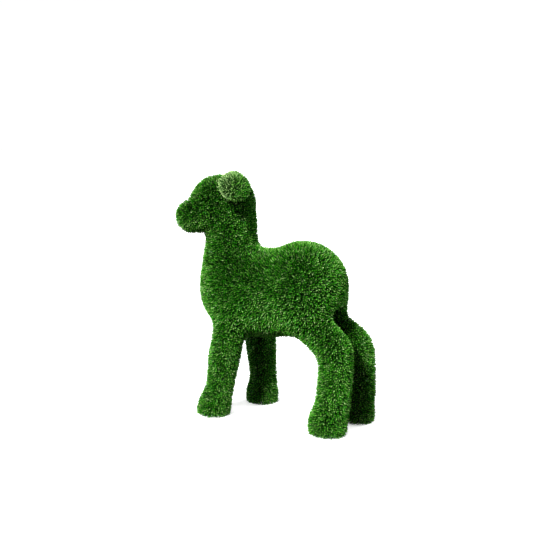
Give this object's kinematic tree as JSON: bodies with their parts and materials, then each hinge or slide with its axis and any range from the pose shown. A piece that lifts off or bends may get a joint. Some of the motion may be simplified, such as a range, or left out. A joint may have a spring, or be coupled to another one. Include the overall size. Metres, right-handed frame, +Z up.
{
  "type": "artificial turf lamb topiary",
  "caption": "Standing lamb figure clad all over in artificial turf, with floppy ears and its head turned to its left, resting on flat feet as a garden ornament.",
  "frame": {"origin": "on the floor, under the middle of the bounding box", "axes": "+Z up; the lamb faces -Y; +X is the lamb's left side, which its head turns towards"},
  "size_m": [0.2432, 0.5218, 0.6502],
  "materials": {
    "turf": "matte"
  },
  "bodies": {
    "root": {"turf_lamb": "turf"}
  },
  "joints": []
}
